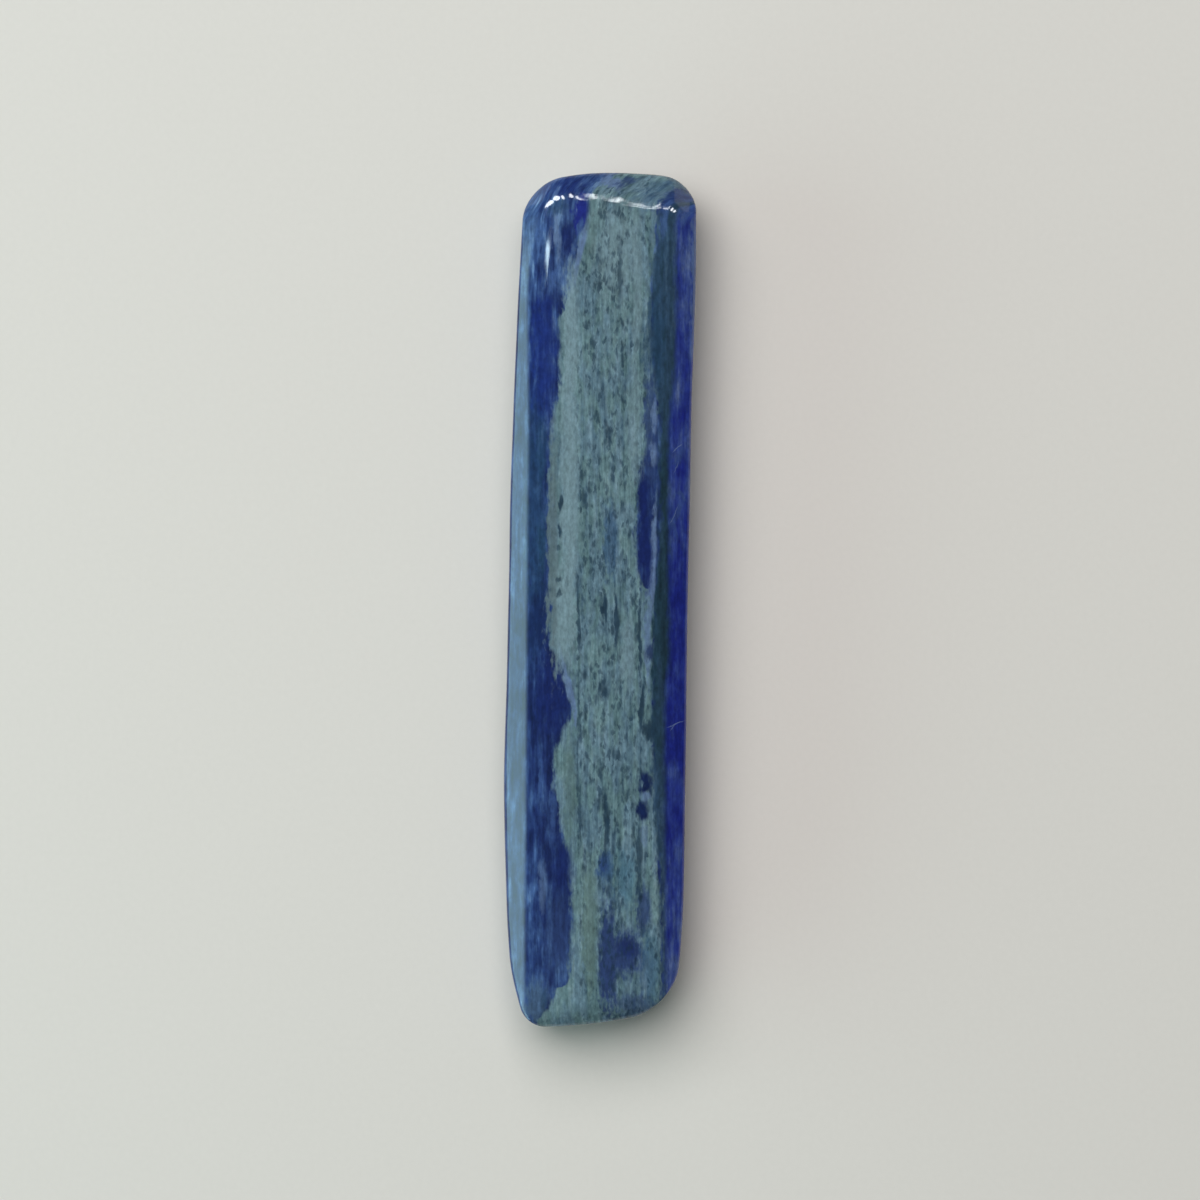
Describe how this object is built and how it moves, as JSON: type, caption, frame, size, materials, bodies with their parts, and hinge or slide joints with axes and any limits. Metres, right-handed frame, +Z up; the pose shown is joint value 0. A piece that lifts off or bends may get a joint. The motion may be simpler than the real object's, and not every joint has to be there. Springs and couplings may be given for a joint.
{
  "type": "polished lapis lazuli bar",
  "caption": "Long flat bar of polished lapis lazuli with ground bevels, rounded corners and a grey-green streaked band between ultramarine sides.",
  "frame": {"origin": "middle of the underside's bounding box, on the surface that the bar lies on", "axes": "+Y along the bar towards its head, +Z up out of the domed top face, +X to the right seen from above with the head up"},
  "size_m": [0.0191, 0.0853, 0.009],
  "materials": {
    "lapis_lazuli": "polished, ultramarine blue with a grey-green streaked band"
  },
  "bodies": {
    "root": {"lapis_bar": "lapis_lazuli"}
  },
  "joints": []
}
